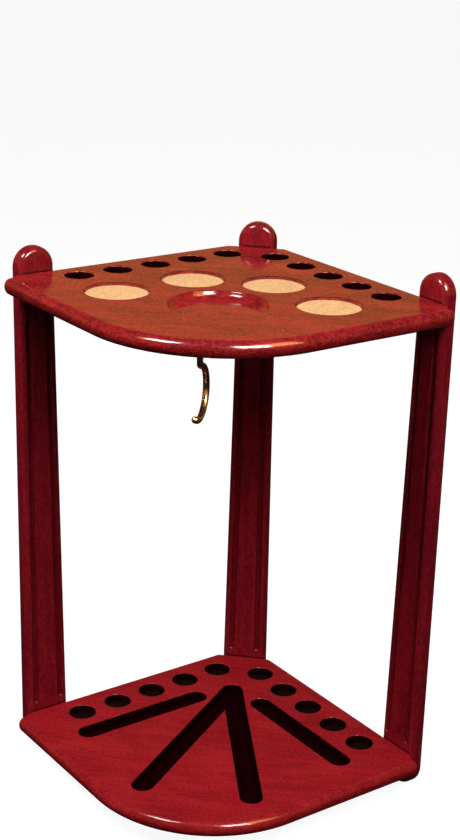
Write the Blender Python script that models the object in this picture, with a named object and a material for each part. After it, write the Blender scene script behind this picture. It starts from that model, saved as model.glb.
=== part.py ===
"""Corner cue rack: two quarter-shaped shelves on three flat posts.

The rack stands in the corner of a room. Its back wall runs along X and its left wall along Y, so the
shelf's own corner is at -X, +Y and the round front looks along the diagonal (+X, -Y). Z is up, the
origin is on the floor under the middle of the rack's box, and all lengths are in metres.
"""

import math

import bmesh
import bpy
from mathutils import Matrix, Vector

# Shelves
SHELF_RISE = 0.621          # lower shelf's top face to upper shelf's top face
BOARD = 0.021               # thickness of both shelves
TOP_SIDE = 0.397            # upper shelf, corner to front side, along each wall
LOWER_SIDE = 0.391
TOP_FRONT_RADIUS = 0.184    # the large round front corner
LOWER_FRONT_RADIUS = 0.178
TIP_RADIUS = 0.005          # plan rounding where the front edge meets a wall edge
CORNER_CUT = 0.038          # from the corner to the cut face, along the diagonal
WALL_EASE = 0.0015          # softening of the square wall edges
RIM = 0.0012                # chamfer round every hole and slot

# Posts
POST_TOP_WIDTH = 0.051
POST_FOOT_WIDTH = 0.063
POST_THICKNESS = 0.020
POST_OUTER = 0.3725         # corner to the side posts' outer edge, along the wall
POST_EDGE = 0.008           # radius of the edges round the front face
POST_BACK_EDGE = 0.004
TAB_RISE = 0.032            # post above the upper shelf
FOOT_DROP = 0.033           # post below the lower shelf
FOOT_FLAT = 0.016           # width of the flat sanded on the round lower end
FLUTE_INSET = 0.0123        # post edge to flute centre
FLUTE_RADIUS = 0.0045
FLUTE_DEPTH = 0.0028
FLUTE_STOP = 0.011          # flute end to shelf face

# Cue places, along both walls
CUE_PLACES = 5
CUE_FIRST = 0.0814          # shelf corner to the first hole
CUE_PITCH = 0.0566
CUE_OFFSET = 0.0365         # wall edge to hole centre
CUE_RADIUS = 0.0185
SOCKET_DEPTH = 0.013
FELT_THICKNESS = 0.0015

# Drink rests and dish: (along one wall, along the other), and each rest has a mirrored twin
REST_PLACES = ((0.3057, 0.1231), (0.1940, 0.1219))
REST_RADIUS = 0.0400
REST_DEPTH = 0.0065
CORK_THICKNESS = 0.0027
DISH_PLACE = 0.2325
DISH_RADIUS = 0.0602
DISH_DEPTH = 0.009
DISH_COVE = 0.010

# Ball slots, blind like the cue sockets
SLOT_RADIUS = 0.0148
SLOT_DEPTH = 0.013
WALL_SLOT_OFFSET = 0.0865   # wall edge to slot centre
WALL_SLOT_ENDS = (0.152, 0.327)
VEE_APEX = 0.0975
VEE_END = (0.3358, 0.2363)

# Hardware
SCREW_LENGTH = 0.036
SCREW_SHANK = 0.002
SCREW_HEAD = 0.0042
SCREW_SPREAD = 0.012        # screw to post centre line
SCREW_SUNK = 0.0005
RECESS_LENGTH = 0.0044
RECESS_WIDTH = 0.001
RECESS_DEPTH = 0.0016
FRONT_FOOT_PLACE = 0.275
FRONT_FOOT_RADIUS = 0.021
HOOK_PLACE = 0.311
HOOK_TURN = math.radians(131.3)
HOOK_SHANK = 0.0023
HOOK_WIRE = 0.0037
HOOK_SWELL = 0.0003         # extra wire radius half-way round the bow
HOOK_BOW = 0.0316           # radius of the hook's round bow
HOOK_BOW_TURN = math.radians(201.7)
HOOK_NECK = 0.0167          # shelf to the bend above the bow
HOOK_NECK_BEND = 0.006
HOOK_NECK_TURN = math.radians(81.5)
HOOK_SCREWED_IN = 0.013
HOOK_FLANGE = 0.007
HOOK_BALL = 0.0042

GAP = 0.0003                # between pieces that touch
FIT = 0.00035               # round a screw or shank in its hole

# How finely the round shapes are divided
HOLE_SIDES = 16
REST_SIDES = 28
DISH_SIDES = 32
FELT_SIDES = 16
SCREW_SIDES = 10
FRONT_STEPS = 20

SHARP_ANGLE = math.radians(35)

LOWER_UNDER = FOOT_DROP
LOWER_TOP = LOWER_UNDER + BOARD
UPPER_TOP = LOWER_TOP + SHELF_RISE
UPPER_UNDER = UPPER_TOP - BOARD
HALF_BOX = (TOP_SIDE - POST_THICKNESS - GAP) / 2
CORNER = Vector((-HALF_BOX, HALF_BOX, 0.0))


def at(along_back, along_left, height=0.0):
    """The point this far from the shelf corner along each wall."""
    return CORNER + Vector((along_back, -along_left, height))


# ---------------------------------------------------------------- materials and objects

def material(name, color, roughness, metallic=0.0):
    made = bpy.data.materials.new(name)
    made.use_nodes = True
    shader = made.node_tree.nodes["Principled BSDF"]
    shader.inputs["Base Color"].default_value = (*color, 1.0)
    shader.inputs["Roughness"].default_value = roughness
    shader.inputs["Metallic"].default_value = metallic
    return made


def add(name, mesh, finish=None, place=Matrix.Identity(4)):
    thing = bpy.data.objects.new(name, mesh)
    thing.matrix_world = place
    bpy.context.scene.collection.objects.link(thing)
    if finish and not mesh.materials:
        mesh.materials.append(finish)
    return thing


def cutter(name, mesh, place=Matrix.Identity(4)):
    tool = add(name, mesh, place=place)
    tool.hide_render = True
    tool.display_type = 'WIRE'
    return tool


def cut(thing, tool):
    """Take the cutter's shape out of a piece."""
    boolean = thing.modifiers.new("Cut " + tool.name, 'BOOLEAN')
    boolean.operation = 'DIFFERENCE'
    boolean.solver = 'EXACT'
    boolean.object = tool


# ---------------------------------------------------------------- solids

def loft(name, rings):
    """A closed solid through rings of equal length, with a flat face on each end."""
    form = bmesh.new()
    rows = [[form.verts.new(point) for point in ring] for ring in rings]
    for low, high in zip(rows, rows[1:]):
        for i, corner in enumerate(low):
            j = (i + 1) % len(low)
            form.faces.new((corner, low[j], high[j], high[i]))
    form.faces.new(rows[0][::-1])
    form.faces.new(rows[-1])
    return closed_mesh(name, form)


def turned(name, profile, segments):
    """A solid turned about Z from (radius, height) points that start and end on the axis."""
    form = bmesh.new()
    points = [form.verts.new((radius, 0.0, height)) for radius, height in profile]
    lines = [form.edges.new(pair) for pair in zip(points, points[1:])]
    bmesh.ops.spin(form, geom=points + lines, cent=(0, 0, 0), axis=(0, 0, 1),
                   angle=math.tau, steps=segments, use_merge=True)
    bmesh.ops.remove_doubles(form, verts=form.verts, dist=1e-7)
    return closed_mesh(name, form)


def closed_mesh(name, form):
    """Facing out, with the bands shaded smooth and the flat ends left flat."""
    bmesh.ops.recalc_face_normals(form, faces=form.faces)
    for face in form.faces:
        face.smooth = len(face.verts) == 4
    mesh = bpy.data.meshes.new(name)
    form.to_mesh(mesh)
    form.free()
    mesh.set_sharp_from_angle(angle=SHARP_ANGLE)
    return mesh


def arc(center, radius, start, end, steps):
    """Points on an arc, both ends included, with angles in radians."""
    turns = [start + (end - start) * i / steps for i in range(steps + 1)]
    return [Vector((center[0] + radius * math.cos(t), center[1] + radius * math.sin(t))) for t in turns]


def inset(outline, distances):
    """A clockwise outline moved inwards, each point by its own distance."""
    moved = []
    for i, point in enumerate(outline):
        before = (point - outline[i - 1]).normalized()
        after = (outline[(i + 1) % len(outline)] - point).normalized()
        along = (before + after).normalized()
        inward = Vector((along.y, -along.x))
        moved.append(point + inward * distances[i] / max(along.dot(after), 0.5))
    return moved


def rounded_levels(thickness, near_radius, far_radius, steps):
    """(depth, inset) pairs through a board whose two edges are rounded to these radii."""
    turns = [math.pi / 2 * i / steps for i in range(steps + 1)]
    near = [(near_radius * (1 - math.cos(t)), near_radius * (1 - math.sin(t))) for t in turns]
    far = [(thickness - far_radius * (1 - math.cos(t)), far_radius * (1 - math.sin(t)))
           for t in reversed(turns)]
    return near + [level for level in far if level[0] > near[-1][0] + 1e-6]


def stadium(start, end, radius, height, segments):
    """A level ring round the line from start to end: a circle where the two are one point."""
    heading = math.atan2(end.y - start.y, end.x - start.x)
    half = segments // 2
    ring = arc(end, radius, heading - math.pi / 2, heading + math.pi / 2, half)
    back = arc(start, radius, heading + math.pi / 2, heading + 3 * math.pi / 2, half)
    ring += back if start != end else back[1:-1]
    return [Vector((point.x, point.y, height)) for point in ring]


# ---------------------------------------------------------------- shelves

def shelf_outline(side, front_radius):
    """The shelf's plan, clockwise, and how round its edge is at each point (0 square, 1 full round)."""
    ease = TIP_RADIUS
    cut_end = CORNER_CUT * math.sqrt(2)
    tip_turns = 4
    back_tip = arc((side - ease, -ease), ease, math.pi / 2, 0.0, tip_turns)
    front = arc((side - front_radius, front_radius - side), front_radius, 0.0, -math.pi / 2, FRONT_STEPS)
    left_tip = arc((ease, ease - side), ease, -math.pi / 2, -math.pi, tip_turns)
    outline = [Vector((cut_end, 0.0))] + back_tip + front + left_tip + [Vector((0.0, -cut_end))]
    fade = [i / tip_turns for i in range(tip_turns + 1)]
    roundness = [0.0] + fade + [1.0] * len(front) + fade[::-1] + [0.0]
    return [point + CORNER.xy for point in outline], roundness


def shelf(name, side, front_radius, top, finish):
    """A board with square wall edges and a full round front edge."""
    outline, roundness = shelf_outline(side, front_radius)
    rings = []
    for depth, pulled in rounded_levels(BOARD, BOARD / 2, BOARD / 2, 4):
        eased = max(0.0, WALL_EASE - min(depth, BOARD - depth))
        distances = [share * pulled + (1 - share) * eased for share in roundness]
        rings.append([Vector((*point, top - depth)) for point in inset(outline, distances)])
    return add(name, loft(name, rings[::-1]), finish)


def pocket(name, start, end, radius, floor, top, segments=HOLE_SIDES):
    """A cutter for a pocket with a chamfered rim; it goes through where floor is below the board."""
    levels = [(floor, radius), (top - RIM, radius), (top + RIM, radius + 2 * RIM)]
    through_at = top - BOARD
    if floor < through_at:
        levels[0] = (through_at - RIM, radius + 2 * RIM)
        levels.insert(1, (through_at + RIM, radius))
    rings = [stadium(start, end, reach, height, segments) for height, reach in levels]
    return cutter(name, loft(name, rings))


def cue_places():
    """Centres of the ten cue places, back wall first."""
    distances = [CUE_FIRST + CUE_PITCH * i for i in range(CUE_PLACES)]
    return [at(d, CUE_OFFSET) for d in distances] + [at(CUE_OFFSET, d) for d in distances]


def rest_places():
    return [at(a, b) for a, b in REST_PLACES] + [at(b, a) for a, b in REST_PLACES]


def cut_cue_places(upper, lower):
    for i, place in enumerate(cue_places(), 1):
        below = UPPER_UNDER - BOARD
        cut(upper, pocket(f"cue_hole_{i}", place, place, CUE_RADIUS, below, UPPER_TOP))
        floor = LOWER_TOP - SOCKET_DEPTH
        cut(lower, pocket(f"cue_socket_{i}", place, place, CUE_RADIUS, floor, LOWER_TOP))


def cut_rests(upper):
    for i, place in enumerate(rest_places(), 1):
        floor = UPPER_TOP - REST_DEPTH
        cut(upper, pocket(f"rest_recess_{i}", place, place, REST_RADIUS, floor, UPPER_TOP, REST_SIDES))


def cut_dish(upper):
    """The turned dish: a flat floor that coves up to the rim."""
    steep = math.acos(1 - DISH_DEPTH / DISH_COVE)
    floor_radius = DISH_RADIUS - DISH_COVE * math.sin(steep)
    turns = [steep * i / 5 for i in range(6)]
    profile = [(0.0, -DISH_DEPTH)]
    profile += [(floor_radius + DISH_COVE * math.sin(t), DISH_COVE * (1 - math.cos(t)) - DISH_DEPTH)
                for t in turns]
    profile += [(DISH_RADIUS + RIM, RIM), (0.0, RIM)]
    middle = Matrix.Translation(at(DISH_PLACE, DISH_PLACE, UPPER_TOP))
    cut(upper, cutter("dish_cut", turned("dish_cut", profile, DISH_SIDES), middle))


def cut_ball_slots(lower):
    near, far = WALL_SLOT_ENDS
    apex = at(VEE_APEX, VEE_APEX)
    runs = {
        "back_wall_slot": (at(near, WALL_SLOT_OFFSET), at(far, WALL_SLOT_OFFSET)),
        "left_wall_slot": (at(WALL_SLOT_OFFSET, near), at(WALL_SLOT_OFFSET, far)),
        "vee_back_arm": (apex, at(VEE_END[0], VEE_END[1])),
        "vee_left_arm": (apex, at(VEE_END[1], VEE_END[0])),
    }
    for name, (start, end) in runs.items():
        cut(lower, pocket(name, start, end, SLOT_RADIUS, LOWER_TOP - SLOT_DEPTH, LOWER_TOP))


# ---------------------------------------------------------------- posts

class Post:
    """A flat board in its own frame: width along X, front face at Y = 0, back at Y = thickness.

    lean moves the top sideways, so that a side post's outer edge stands plumb.
    """

    def __init__(self, name, place, turn, lean):
        self.name = name
        self.place = Matrix.Translation(place) @ Matrix.Rotation(turn, 4, 'Z')
        foot, tab = POST_FOOT_WIDTH / 2, POST_TOP_WIDTH / 2
        self.flat_turn = math.asin(FOOT_FLAT / 2 / foot)
        self.foot_center = Vector((0.0, foot * math.cos(self.flat_turn)))
        self.tab_center = Vector((lean * (foot - tab), UPPER_TOP + TAB_RISE - tab))
        axis = self.tab_center - self.foot_center
        self.axis_angle = math.atan2(axis.y, axis.x)
        self.side_turn = math.acos((foot - tab) / axis.length)

    def outline(self):
        """Two round lobes and the straight edges that touch both, clockwise, with a flat foot."""
        left, right = self.axis_angle + self.side_turn, self.axis_angle - self.side_turn
        points = arc(self.tab_center, POST_TOP_WIDTH / 2, left, right, 12)
        down = -math.pi / 2
        points += arc(self.foot_center, POST_FOOT_WIDTH / 2, right, down + self.flat_turn, 5)
        points += arc(self.foot_center, POST_FOOT_WIDTH / 2, down - self.flat_turn, left - math.tau, 5)
        return points

    def edge_x(self, side, height):
        """Where the straight edge is at this height; side is -1 for left and +1 for right."""
        turn = self.axis_angle - side * self.side_turn
        low = self.foot_center + Vector((math.cos(turn), math.sin(turn))) * POST_FOOT_WIDTH / 2
        high = self.tab_center + Vector((math.cos(turn), math.sin(turn))) * POST_TOP_WIDTH / 2
        share = (height - low.y) / (high.y - low.y)
        return low.x + (high.x - low.x) * share

    def middle_x(self, height):
        return (self.edge_x(-1, height) + self.edge_x(1, height)) / 2

    def build(self, finish):
        outline = self.outline()
        rings = []
        for depth, pulled in rounded_levels(POST_THICKNESS, POST_EDGE, POST_BACK_EDGE, 4):
            ring = inset(outline, [pulled] * len(outline))
            rings.append([Vector((point.x, depth, point.y)) for point in ring])
        self.solid = add(self.name, loft(self.name, rings), finish, self.place)
        for side in (-1, 1):
            cut(self.solid, self.flute(side))
        return self.solid

    def flute(self, side):
        """A round-ended rod along one edge, most of it in front of the face."""
        low = LOWER_TOP + FLUTE_STOP + FLUTE_RADIUS
        high = UPPER_UNDER - FLUTE_STOP - FLUTE_RADIUS
        turns = [math.radians(t) for t in (-80, -50, -25, 0)]
        ends = [(low + FLUTE_RADIUS * math.sin(t), FLUTE_RADIUS * math.cos(t)) for t in turns]
        ends += [(high - FLUTE_RADIUS * math.sin(t), FLUTE_RADIUS * math.cos(t)) for t in turns[::-1]]
        rings = []
        for height, radius in ends:
            center = (self.edge_x(side, height) - side * FLUTE_INSET, FLUTE_DEPTH - FLUTE_RADIUS)
            circle = arc(center, radius, 0.0, math.tau, 14)[:-1]
            rings.append([Vector((point.x, point.y, height)) for point in circle])
        name = f"{self.name}_flute_{'left' if side < 0 else 'right'}"
        return cutter(name, loft(name, rings), self.place)

    def screw_places(self, height):
        """The two screws into a shelf at this height, each with its head at the back face."""
        upright_to_back = Matrix.Rotation(-math.pi / 2, 4, 'X')
        spots = [self.middle_x(height) + side * SCREW_SPREAD for side in (-1, 1)]
        return [self.place @ Matrix.Translation((x, POST_THICKNESS - SCREW_SUNK, height)) @ upright_to_back
                for x in spots]


def make_posts(finish):
    """The left and right posts stand flat on the walls; the corner post faces the room."""
    side_center = POST_OUTER - POST_FOOT_WIDTH / 2
    posts = [
        Post("left_post", at(-GAP, side_center), math.pi / 2, -1),
        Post("right_post", at(side_center, -GAP), 0.0, 1),
        Post("corner_post", at(*[(CORNER_CUT - GAP) / math.sqrt(2)] * 2), math.pi / 4, 0),
    ]
    for post in posts:
        post.build(finish)
    return posts


# ---------------------------------------------------------------- screws

def screw_profile(spare, over_head):
    """A countersunk screw, head face at 0 and point down, grown by spare on every side."""
    head, shank = SCREW_HEAD + spare, SCREW_SHANK + spare
    tip = -SCREW_LENGTH - 4 * spare
    return [(0.0, over_head), (head + over_head, over_head), (shank, shank - head),
            (shank, tip + 2.5 * shank), (0.0003, tip), (0.0, tip)]


def cross_recess():
    """A plus-shaped prism for the driver recess."""
    reach, half = RECESS_LENGTH / 2, RECESS_WIDTH / 2
    arm = [Vector((-half, reach)), Vector((half, reach)), Vector((half, half))]
    plus = [Matrix.Rotation(-math.pi / 2 * quarter, 2) @ point for quarter in range(4) for point in arm]
    rings = [[Vector((*point, height)) for point in plus] for height in (-RECESS_DEPTH, RECESS_DEPTH)]
    return cutter("driver_recess", loft("driver_recess", rings))


def screw_mesh(finish):
    """A screw with its driver recess cut, as a mesh that many objects can share."""
    blank = add("screw_blank", turned("wood_screw", screw_profile(0.0, 0.0), SCREW_SIDES), finish)
    recess = cross_recess()
    cut(blank, recess)
    seen = blank.evaluated_get(bpy.context.evaluated_depsgraph_get())
    mesh = bpy.data.meshes.new_from_object(seen)
    bpy.data.objects.remove(blank)
    bpy.data.objects.remove(recess)
    return mesh


def fasten_posts(posts, upper, lower, finish):
    """Two screws through each post into the edge of each shelf."""
    mesh = screw_mesh(finish)
    for post in posts:
        for shelf_name, board, top in (("upper", upper, UPPER_TOP), ("lower", lower, LOWER_TOP)):
            for i, place in enumerate(post.screw_places(top - BOARD / 2), 1):
                name = f"{post.name}_{shelf_name}_screw_{i}"
                hole = turned(name + "_hole", screw_profile(FIT, 2 * SCREW_SUNK), SCREW_SIDES)
                tool = cutter(name + "_hole", hole, place)
                cut(post.solid, tool)
                cut(board, tool)
                add(name, mesh, finish, place)


# ---------------------------------------------------------------- small pieces

def disc(name, place, radius, thickness, height, finish, segments):
    """A thin disc with a softened top edge, lying at this height."""
    soft = thickness / 4
    profile = [(0.0, 0.0), (radius, 0.0), (radius, thickness - soft), (radius - soft, thickness),
               (0.0, thickness)]
    where = Matrix.Translation(place + Vector((0, 0, height)))
    return add(name, turned(name, profile, segments), finish, where)


def lay_discs(cork, felt):
    for i, place in enumerate(rest_places(), 1):
        floor = UPPER_TOP - REST_DEPTH + GAP
        disc(f"cork_rest_{i}", place, REST_RADIUS - GAP, CORK_THICKNESS, floor, cork, REST_SIDES)
    for i, place in enumerate(cue_places(), 1):
        floor = LOWER_TOP - SOCKET_DEPTH + GAP
        disc(f"socket_felt_{i}", place, CUE_RADIUS - 2 * GAP, FELT_THICKNESS, floor, felt, FELT_SIDES)


def make_front_foot(lower, wood, steel):
    """A turned foot under the lower shelf, held by a screw from below."""
    place = at(FRONT_FOOT_PLACE, FRONT_FOOT_PLACE)
    height = LOWER_UNDER - GAP
    wide, ease = FRONT_FOOT_RADIUS, 0.003
    belly = [(wide - ease * 2, 0.0), (wide - ease, ease * 0.5), (wide - ease * 0.3, ease * 2),
             (wide, height * 0.5), (wide - ease * 0.3, height - ease), (wide - ease, height)]
    foot = add("front_foot", turned("front_foot", [(0.0, 0.0)] + belly + [(0.0, height)], 24), wood,
               Matrix.Translation(place))
    head_at = 0.012
    upside_down = Matrix.Translation(place + Vector((0, 0, head_at))) @ Matrix.Rotation(math.pi, 4, 'X')
    clear = SCREW_HEAD + 0.0012
    body = [(radius, height) for radius, height in screw_profile(FIT, 0.0)][2:]
    well = [(0.0, head_at + 0.001), (clear, head_at + 0.001), (clear, 0.0), (SCREW_HEAD + FIT, 0.0)]
    hole = turned("front_foot_screw_hole", well + body, SCREW_SIDES)
    tool = cutter("front_foot_screw_hole", hole, upside_down)
    cut(foot, tool)
    cut(lower, tool)
    add("front_foot_screw", screw_mesh(steel), steel, upside_down)


def bend(path, heading, radius, turn, steps):
    """Carry an (x, z) path on round an arc; a positive turn is to the left. Returns the new heading."""
    side = math.copysign(1.0, turn)
    for _ in range(steps):
        step = abs(turn) / steps
        chord = 2 * radius * math.sin(step / 2)
        mid = heading + side * step / 2
        path.append(path[-1] + Vector((math.cos(mid), math.sin(mid))) * chord)
        heading += side * step
    return heading


def hook_rings():
    """Rings along the hook: threaded shank, flange, neck, bow and ball tip."""
    flange_low = -GAP - 0.0022
    steps = [(HOOK_SCREWED_IN, 0.0006), (HOOK_SCREWED_IN - 0.003, HOOK_SHANK), (-GAP, HOOK_SHANK),
             (-GAP, HOOK_FLANGE - 0.0004), (-GAP - 0.0006, HOOK_FLANGE), (flange_low + 0.0005, HOOK_FLANGE),
             (flange_low, HOOK_FLANGE - 0.0008), (flange_low, HOOK_WIRE)]
    path = [Vector((0.0, height)) for height, _ in steps]
    radii = [radius for _, radius in steps]
    headings = [-math.pi / 2] * len(steps)
    line = [Vector((0.0, -HOOK_NECK))]
    heading = bend(line, -math.pi / 2, HOOK_NECK_BEND, HOOK_NECK_TURN, 4)
    bend(line, heading, HOOK_BOW, -HOOK_BOW_TURN, 20)
    for i, point in enumerate(line):
        behind, ahead = line[max(i - 1, 0)], line[min(i + 1, len(line) - 1)]
        path.append(point)
        headings.append(math.atan2(ahead.y - behind.y, ahead.x - behind.x))
        radii.append(HOOK_WIRE + HOOK_SWELL * math.sin(math.pi * i / (len(line) - 1)))
    neck = math.asin(radii[-1] / HOOK_BALL)
    along = Vector((math.cos(headings[-1]), math.sin(headings[-1])))
    ball = line[-1] + along * HOOK_BALL * math.cos(neck)
    for i in range(1, 7):
        turn = neck + (math.pi - 0.1 - neck) * i / 6
        path.append(ball - along * HOOK_BALL * math.cos(turn))
        radii.append(HOOK_BALL * math.sin(turn))
        headings.append(headings[-1])
    return [ring_across(*at_point) for at_point in zip(path, headings, radii)]


def ring_across(center, heading, radius, segments=10):
    """A circle square to the heading, in the hook's own frame."""
    across = Vector((-math.sin(heading), 0.0, math.cos(heading)))
    middle = Vector((center.x, 0.0, center.y))
    turns = [math.tau * i / segments for i in range(segments)]
    return [middle + (across * math.cos(t) + Vector((0, 1, 0)) * math.sin(t)) * radius for t in turns]


def make_hook(upper, brass):
    """The brass hook turns about its own threaded shank, which is where its origin is."""
    place = Matrix.Translation(at(HOOK_PLACE, HOOK_PLACE, UPPER_UNDER)) @ Matrix.Rotation(HOOK_TURN, 4, 'Z')
    add("cup_hook", loft("cup_hook", hook_rings()), brass, place)
    depth = HOOK_SCREWED_IN + 0.001
    bore = [(0.0, -0.001), (HOOK_SHANK + FIT, -0.001), (HOOK_SHANK + FIT, depth), (0.0, depth)]
    cut(upper, cutter("hook_bore", turned("hook_bore", bore, SCREW_SIDES), place))


def build():
    for thing in list(bpy.data.objects):
        bpy.data.objects.remove(thing)
    mahogany = material("mahogany_lacquer", (0.24, 0.02, 0.02), 0.15)
    dark_mahogany = material("mahogany_post", (0.12, 0.012, 0.014), 0.25)
    cork = material("cork", (0.80, 0.48, 0.26), 0.9)
    felt = material("black_felt", (0.01, 0.01, 0.01), 0.95)
    brass = material("brass", (0.80, 0.55, 0.20), 0.2, 1.0)
    steel = material("screw_steel", (0.35, 0.33, 0.30), 0.35, 1.0)
    upper = shelf("top_shelf", TOP_SIDE, TOP_FRONT_RADIUS, UPPER_TOP, mahogany)
    lower = shelf("lower_shelf", LOWER_SIDE, LOWER_FRONT_RADIUS, LOWER_TOP, mahogany)
    cut_cue_places(upper, lower)
    cut_rests(upper)
    cut_dish(upper)
    cut_ball_slots(lower)
    posts = make_posts(dark_mahogany)
    fasten_posts(posts, upper, lower, steel)
    lay_discs(cork, felt)
    make_front_foot(lower, dark_mahogany, steel)
    make_hook(upper, brass)


build()
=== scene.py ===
"""Looks for the corner cue rack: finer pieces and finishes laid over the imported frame.

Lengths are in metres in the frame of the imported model: X along the back wall, Y along the left wall,
the room corner at -X, +Y, and Z up from the floor.
"""

import math

import bmesh
import bpy
from mathutils import Matrix, Vector, noise


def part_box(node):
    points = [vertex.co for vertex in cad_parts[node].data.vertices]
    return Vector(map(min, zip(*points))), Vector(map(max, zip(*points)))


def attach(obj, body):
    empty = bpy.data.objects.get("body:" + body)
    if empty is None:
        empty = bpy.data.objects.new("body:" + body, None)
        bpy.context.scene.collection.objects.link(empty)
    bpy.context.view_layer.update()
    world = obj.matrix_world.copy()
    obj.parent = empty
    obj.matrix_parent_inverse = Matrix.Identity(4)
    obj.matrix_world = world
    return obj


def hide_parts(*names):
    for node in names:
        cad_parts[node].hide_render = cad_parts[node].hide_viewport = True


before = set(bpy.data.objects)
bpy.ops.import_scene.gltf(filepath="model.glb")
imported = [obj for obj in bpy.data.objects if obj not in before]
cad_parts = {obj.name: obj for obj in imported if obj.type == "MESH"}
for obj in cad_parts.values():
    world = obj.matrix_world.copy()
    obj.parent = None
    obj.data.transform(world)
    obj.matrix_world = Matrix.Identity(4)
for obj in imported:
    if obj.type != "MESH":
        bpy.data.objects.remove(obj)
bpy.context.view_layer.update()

# ---------------------------------------------------------------- dimensions

BOARD = 0.021
TOP_SIDE = 0.397
LOWER_SIDE = 0.391
TOP_FRONT_RADIUS = 0.184
LOWER_FRONT_RADIUS = 0.178
TIP_RADIUS = 0.009
TIP_FADE = 0.012            # length of wall edge over which the full round edge fades out
TIP_HELD = 0.93             # how much of the tip's radius the round edge may use
CORNER_CUT = 0.038
CUT_EASE = 0.003
WALL_EASE = 0.0015
RIM = 0.0010
RIM_TURNS = [math.radians(t) for t in (0, 15, 30, 45, 60, 75)]
SURFACE_CLEAR = 0.0001      # how far a pocket's cutter stands out of the surface
CUT_STEPS, TIP_STEPS, FRONT_STEPS, EDGE_STEPS = 4, 12, 90, 14

LOWER_UNDER = 0.033
LOWER_TOP = 0.054
UPPER_UNDER = 0.654
UPPER_TOP = 0.675
LOWER_MIDDLE = LOWER_TOP - BOARD / 2
UPPER_MIDDLE = UPPER_TOP - BOARD / 2

POST_TOP_WIDTH = 0.051
POST_FOOT_WIDTH = 0.063
POST_THICKNESS = 0.020
POST_OUTER = 0.3725
POST_HEIGHT = 0.707
POST_EDGE = 0.008           # radius of the edges round the front face
POST_BACK_EDGE = 0.004
POST_EDGE_STEPS = 12
FOOT_FLAT = 0.016
FLUTE_INSET = 0.0123
FLUTE_RADIUS = 0.0045
FLUTE_DEPTH = 0.0028
FLUTE_STOP = 0.011
FLUTE_END_TURNS = [math.radians(t) for t in (-85, -70, -55, -40, -25, -12, 0)]

CUE_DISTANCES = [0.0814 + 0.0566 * i for i in range(5)]
CUE_OFFSET = 0.0365
CUE_RADIUS = 0.0185
SOCKET_DEPTH = 0.013
REST_RADIUS = 0.0400
REST_DEPTH = 0.0065
REST_RIM = 0.0005
REST_PLACES = ((0.3057, 0.1231), (0.1940, 0.1219))
DISH_PLACE = 0.2325
DISH_RADIUS = 0.0602
DISH_DEPTH = 0.009
DISH_COVE = 0.010
DISH_COVE_TURNS = [math.radians(t) for t in range(0, 73, 6)]
DISH_LIP_BEND = (0.0005, 0.00005)
DISH_LIP_END = (0.0030, 0.00012)
SLOT_RADIUS = 0.0148
SLOT_DEPTH = 0.013
WALL_SLOT_OFFSET = 0.0865
WALL_SLOT_ENDS = (0.152, 0.327)
VEE_APEX = 0.0975
VEE_END = (0.3358, 0.2363)

SCREW_HEAD = 0.0042
SCREW_SHANK = 0.002
SCREW_LENGTH = 0.036
SCREW_SUNK = 0.0005
SCREW_SPREAD = 0.012
SCREW_POINT = 0.005
SCREW_TIP = 0.0003
SCREW_HOLE_END = -0.03      # in front of the post's face
PILOT_START = -0.010        # behind the shelf's edge
RECESS = ((-0.0018, 0.0008, 0.0003), (-0.0008, 0.0018, 0.00045), (0.0004, 0.0024, 0.0006))
BORE_CLEAR = 0.001          # how much deeper a bore is than what stands in it
FRONT_FOOT_PLACE = 0.275
FRONT_FOOT_RADIUS = 0.021
FRONT_FOOT_SCREW = 0.012
FRONT_FOOT_LOW_EDGE = (0.006, 0.009)
FRONT_FOOT_TOP_EDGE = 0.003
COUNTERBORE_CLEAR = 0.0012
HOOK_PLACE = 0.311
HOOK_TURN = math.radians(131.3)
HOOK_SHANK = 0.0023
HOOK_WIRE = 0.0037
HOOK_SWELL = 0.0003
HOOK_BOW = 0.0316
HOOK_BOW_TURN = math.radians(201.7)
HOOK_NECK = 0.0167
HOOK_NECK_BEND = 0.006
HOOK_NECK_TURN = math.radians(81.5)
HOOK_SCREWED_IN = 0.013
HOOK_FLANGE = 0.007
HOOK_FLANGE_DEPTH = 0.0022
HOOK_BALL = 0.0042
HOOK_BALL_STEPS = 18
HOOK_BALL_END = math.pi - 0.05

DISC_SOFT = 0.3             # a disc's rounded edge as a share of its thickness
CORK_NIBBLE = 260.0         # roughly the nibbles per metre
CORK_FINE_NIBBLE = 2.3      # how many times finer the second set is
CORK_BITE = 0.0009
CORK_RIM_BAND = 0.002
GAP = 0.0003                # between neighbouring pieces
FIT = 0.00035               # round a screw or shank in its hole
WELD = 1e-6
HALF_BOX = (TOP_SIDE - POST_THICKNESS - GAP) / 2
CORNER = Vector((-HALF_BOX, HALF_BOX, 0.0))
DIAGONAL = math.pi / 4
SHARP = math.radians(32)


def at(along_back, along_left, height=0.0):
    """The point this far from the shelf corner along each wall."""
    return CORNER + Vector((along_back, -along_left, height))


# ---------------------------------------------------------------- finishes

MIX_SHARE, MIX_FIRST, MIX_SECOND, MIX_RESULT = 0, 6, 7, 2       # the colour sockets of a Mix node


def fill_ramp(node, stops):
    """Set a ramp from (position, (r, g, b)) pairs."""
    band = node.color_ramp.elements
    while len(band) < len(stops):
        band.new(1.0)
    for element, (position, color) in zip(band, stops):
        element.position = position
        element.color = (*color, 1.0)


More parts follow.
